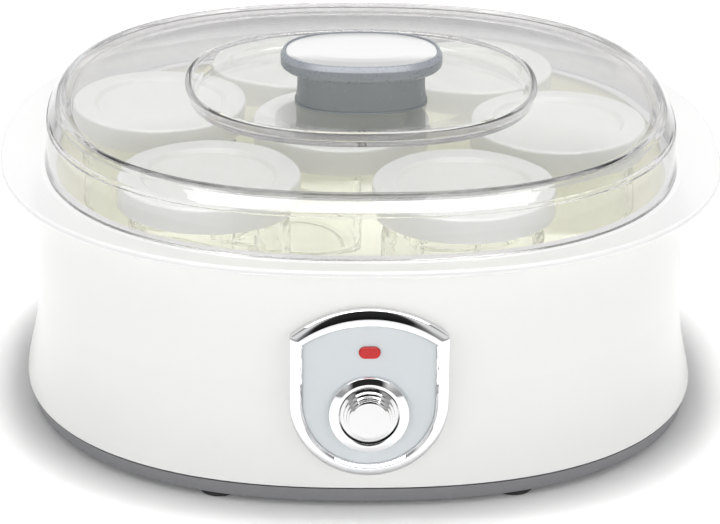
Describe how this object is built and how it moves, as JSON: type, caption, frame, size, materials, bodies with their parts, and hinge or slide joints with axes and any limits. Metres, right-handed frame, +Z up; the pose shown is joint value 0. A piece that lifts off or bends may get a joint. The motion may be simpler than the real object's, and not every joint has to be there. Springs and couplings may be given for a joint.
{
  "type": "yogurt maker",
  "caption": "Electric yogurt maker: flared oval base with a shield-shaped control panel, wide bowl flange, clear domed lid with knob, and glass jars inside.",
  "frame": {"origin": "middle of the footprint, on the surface the feet stand on", "axes": "+Z up, control panel towards -Y, +X to the right of someone facing the panel"},
  "size_m": [0.267, 0.2498, 0.1314],
  "materials": {
    "white_shell": "satin moulded",
    "white_bowl": "glossy moulded",
    "base_grey": "fine texture",
    "rubber_foot": "matt",
    "clear_lid": "clear, polished",
    "knob_grey": "satin metallic grey",
    "stem_grey": "satin",
    "bright_trim": "polished plating",
    "button_silver": "satin silver",
    "panel_grey": "satin pale blue-grey",
    "red_lens": "clear red, polished",
    "lamp_glass": "clear",
    "black_plastic": "matt",
    "steel": "zinc plated",
    "plated_sheet": "galvanised",
    "aluminium_sheet": "mill finish",
    "heater_cord": "silicone",
    "fuse_sleeve": "woven glass sleeve",
    "cream_nylon": "natural",
    "lead_brown": "smooth",
    "lead_red": "smooth",
    "lead_blue": "smooth",
    "jar_glass": "clear",
    "jar_lid_plastic": "translucent, satin"
  },
  "bodies": {
    "base": {"base_cover": "base_grey", "base_screws": "steel", "body_shell": "white_shell", "button_ring": "bright_trim", "button_spring": "steel", "cord_gland": "black_plastic", "foot_back_left": "rubber_foot", "foot_back_right": "rubber_foot", "foot_front_left": "rubber_foot", "foot_front_right": "rubber_foot", "heat_spreader": "aluminium_sheet", "heater_screws": "steel", "heating_element": "heater_cord", "indicator_lamp": "lamp_glass", "inner_bowl": "white_bowl", "lead_live": "lead_brown", "lead_neutral": "lead_blue", "lead_switched": "lead_red", "led_lens": "red_lens", "panel_bezel": "bright_trim", "panel_plate": "panel_grey", "reflector_plate": "plated_sheet", "switch_body": "black_plastic", "switch_bracket": "black_plastic", "switch_screws": "steel", "terminal_block": "cream_nylon", "thermal_fuse": "fuse_sleeve", "thermostat": "steel", "thermostat_clip": "steel"},
    "lid": {"lid_cover": "clear_lid", "knob_stem": "stem_grey", "knob_cap": "knob_grey", "knob_top_disc": "bright_trim", "knob_screw": "steel"},
    "button": {"push_button": "button_silver"},
    "jar_centre": {"jar_centre": "jar_glass"},
    "jar_lid_centre": {"jar_lid_centre": "jar_lid_plastic"},
    "jar_left": {"jar_left": "jar_glass"},
    "jar_lid_left": {"jar_lid_left": "jar_lid_plastic"},
    "jar_right": {"jar_right": "jar_glass"},
    "jar_lid_right": {"jar_lid_right": "jar_lid_plastic"},
    "jar_front_left": {"jar_front_left": "jar_glass"},
    "jar_lid_front_left": {"jar_lid_front_left": "jar_lid_plastic"},
    "jar_front_right": {"jar_front_right": "jar_glass"},
    "jar_lid_front_right": {"jar_lid_front_right": "jar_lid_plastic"},
    "jar_back_left": {"jar_back_left": "jar_glass"},
    "jar_lid_back_left": {"jar_lid_back_left": "jar_lid_plastic"},
    "jar_back_right": {"jar_back_right": "jar_glass"},
    "jar_lid_back_right": {"jar_lid_back_right": "jar_lid_plastic"}
  },
  "joints": [
    {"name": "lid_lift", "type": "slide", "parent": "base", "child": "lid", "axis": [0, 0, 1], "range_m": [0, 0.2]},
    {"name": "button_press", "type": "slide", "parent": "base", "child": "button", "axis": [0, 0.999, -0.0436], "range_m": [0, 0.003], "stiffness_N_per_m": 400, "deforming": ["button_spring"]},
    {"name": "jar_centre_lift", "type": "slide", "parent": "base", "child": "jar_centre", "axis": [0, 0, 1], "range_m": [0, 0.1]},
    {"name": "jar_lid_centre_lift", "type": "slide", "parent": "jar_centre", "child": "jar_lid_centre", "axis": [0, 0, 1], "range_m": [0, 0.06]},
    {"name": "jar_left_lift", "type": "slide", "parent": "base", "child": "jar_left", "axis": [0, 0, 1], "range_m": [0, 0.1]},
    {"name": "jar_lid_left_lift", "type": "slide", "parent": "jar_left", "child": "jar_lid_left", "axis": [0, 0, 1], "range_m": [0, 0.06]},
    {"name": "jar_right_lift", "type": "slide", "parent": "base", "child": "jar_right", "axis": [0, 0, 1], "range_m": [0, 0.1]},
    {"name": "jar_lid_right_lift", "type": "slide", "parent": "jar_right", "child": "jar_lid_right", "axis": [0, 0, 1], "range_m": [0, 0.06]},
    {"name": "jar_front_left_lift", "type": "slide", "parent": "base", "child": "jar_front_left", "axis": [0, 0, 1], "range_m": [0, 0.1]},
    {"name": "jar_lid_front_left_lift", "type": "slide", "parent": "jar_front_left", "child": "jar_lid_front_left", "axis": [0, 0, 1], "range_m": [0, 0.06]},
    {"name": "jar_front_right_lift", "type": "slide", "parent": "base", "child": "jar_front_right", "axis": [0, 0, 1], "range_m": [0, 0.1]},
    {"name": "jar_lid_front_right_lift", "type": "slide", "parent": "jar_front_right", "child": "jar_lid_front_right", "axis": [0, 0, 1], "range_m": [0, 0.06]},
    {"name": "jar_back_left_lift", "type": "slide", "parent": "base", "child": "jar_back_left", "axis": [0, 0, 1], "range_m": [0, 0.1]},
    {"name": "jar_lid_back_left_lift", "type": "slide", "parent": "jar_back_left", "child": "jar_lid_back_left", "axis": [0, 0, 1], "range_m": [0, 0.06]},
    {"name": "jar_back_right_lift", "type": "slide", "parent": "base", "child": "jar_back_right", "axis": [0, 0, 1], "range_m": [0, 0.1]},
    {"name": "jar_lid_back_right_lift", "type": "slide", "parent": "jar_back_right", "child": "jar_lid_back_right", "axis": [0, 0, 1], "range_m": [0, 0.06]}
  ],
  "couplings": [
    {"joint": "jar_centre_lift", "follows": "lid_lift", "ratio": 0.5},
    {"joint": "jar_lid_centre_lift", "follows": "lid_lift", "ratio": 0.3},
    {"joint": "jar_left_lift", "follows": "lid_lift", "ratio": 0.5},
    {"joint": "jar_lid_left_lift", "follows": "lid_lift", "ratio": 0.3},
    {"joint": "jar_right_lift", "follows": "lid_lift", "ratio": 0.5},
    {"joint": "jar_lid_right_lift", "follows": "lid_lift", "ratio": 0.3},
    {"joint": "jar_front_left_lift", "follows": "lid_lift", "ratio": 0.5},
    {"joint": "jar_lid_front_left_lift", "follows": "lid_lift", "ratio": 0.3},
    {"joint": "jar_front_right_lift", "follows": "lid_lift", "ratio": 0.5},
    {"joint": "jar_lid_front_right_lift", "follows": "lid_lift", "ratio": 0.3},
    {"joint": "jar_back_left_lift", "follows": "lid_lift", "ratio": 0.5},
    {"joint": "jar_lid_back_left_lift", "follows": "lid_lift", "ratio": 0.3},
    {"joint": "jar_back_right_lift", "follows": "lid_lift", "ratio": 0.5},
    {"joint": "jar_lid_back_right_lift", "follows": "lid_lift", "ratio": 0.3}
  ]
}
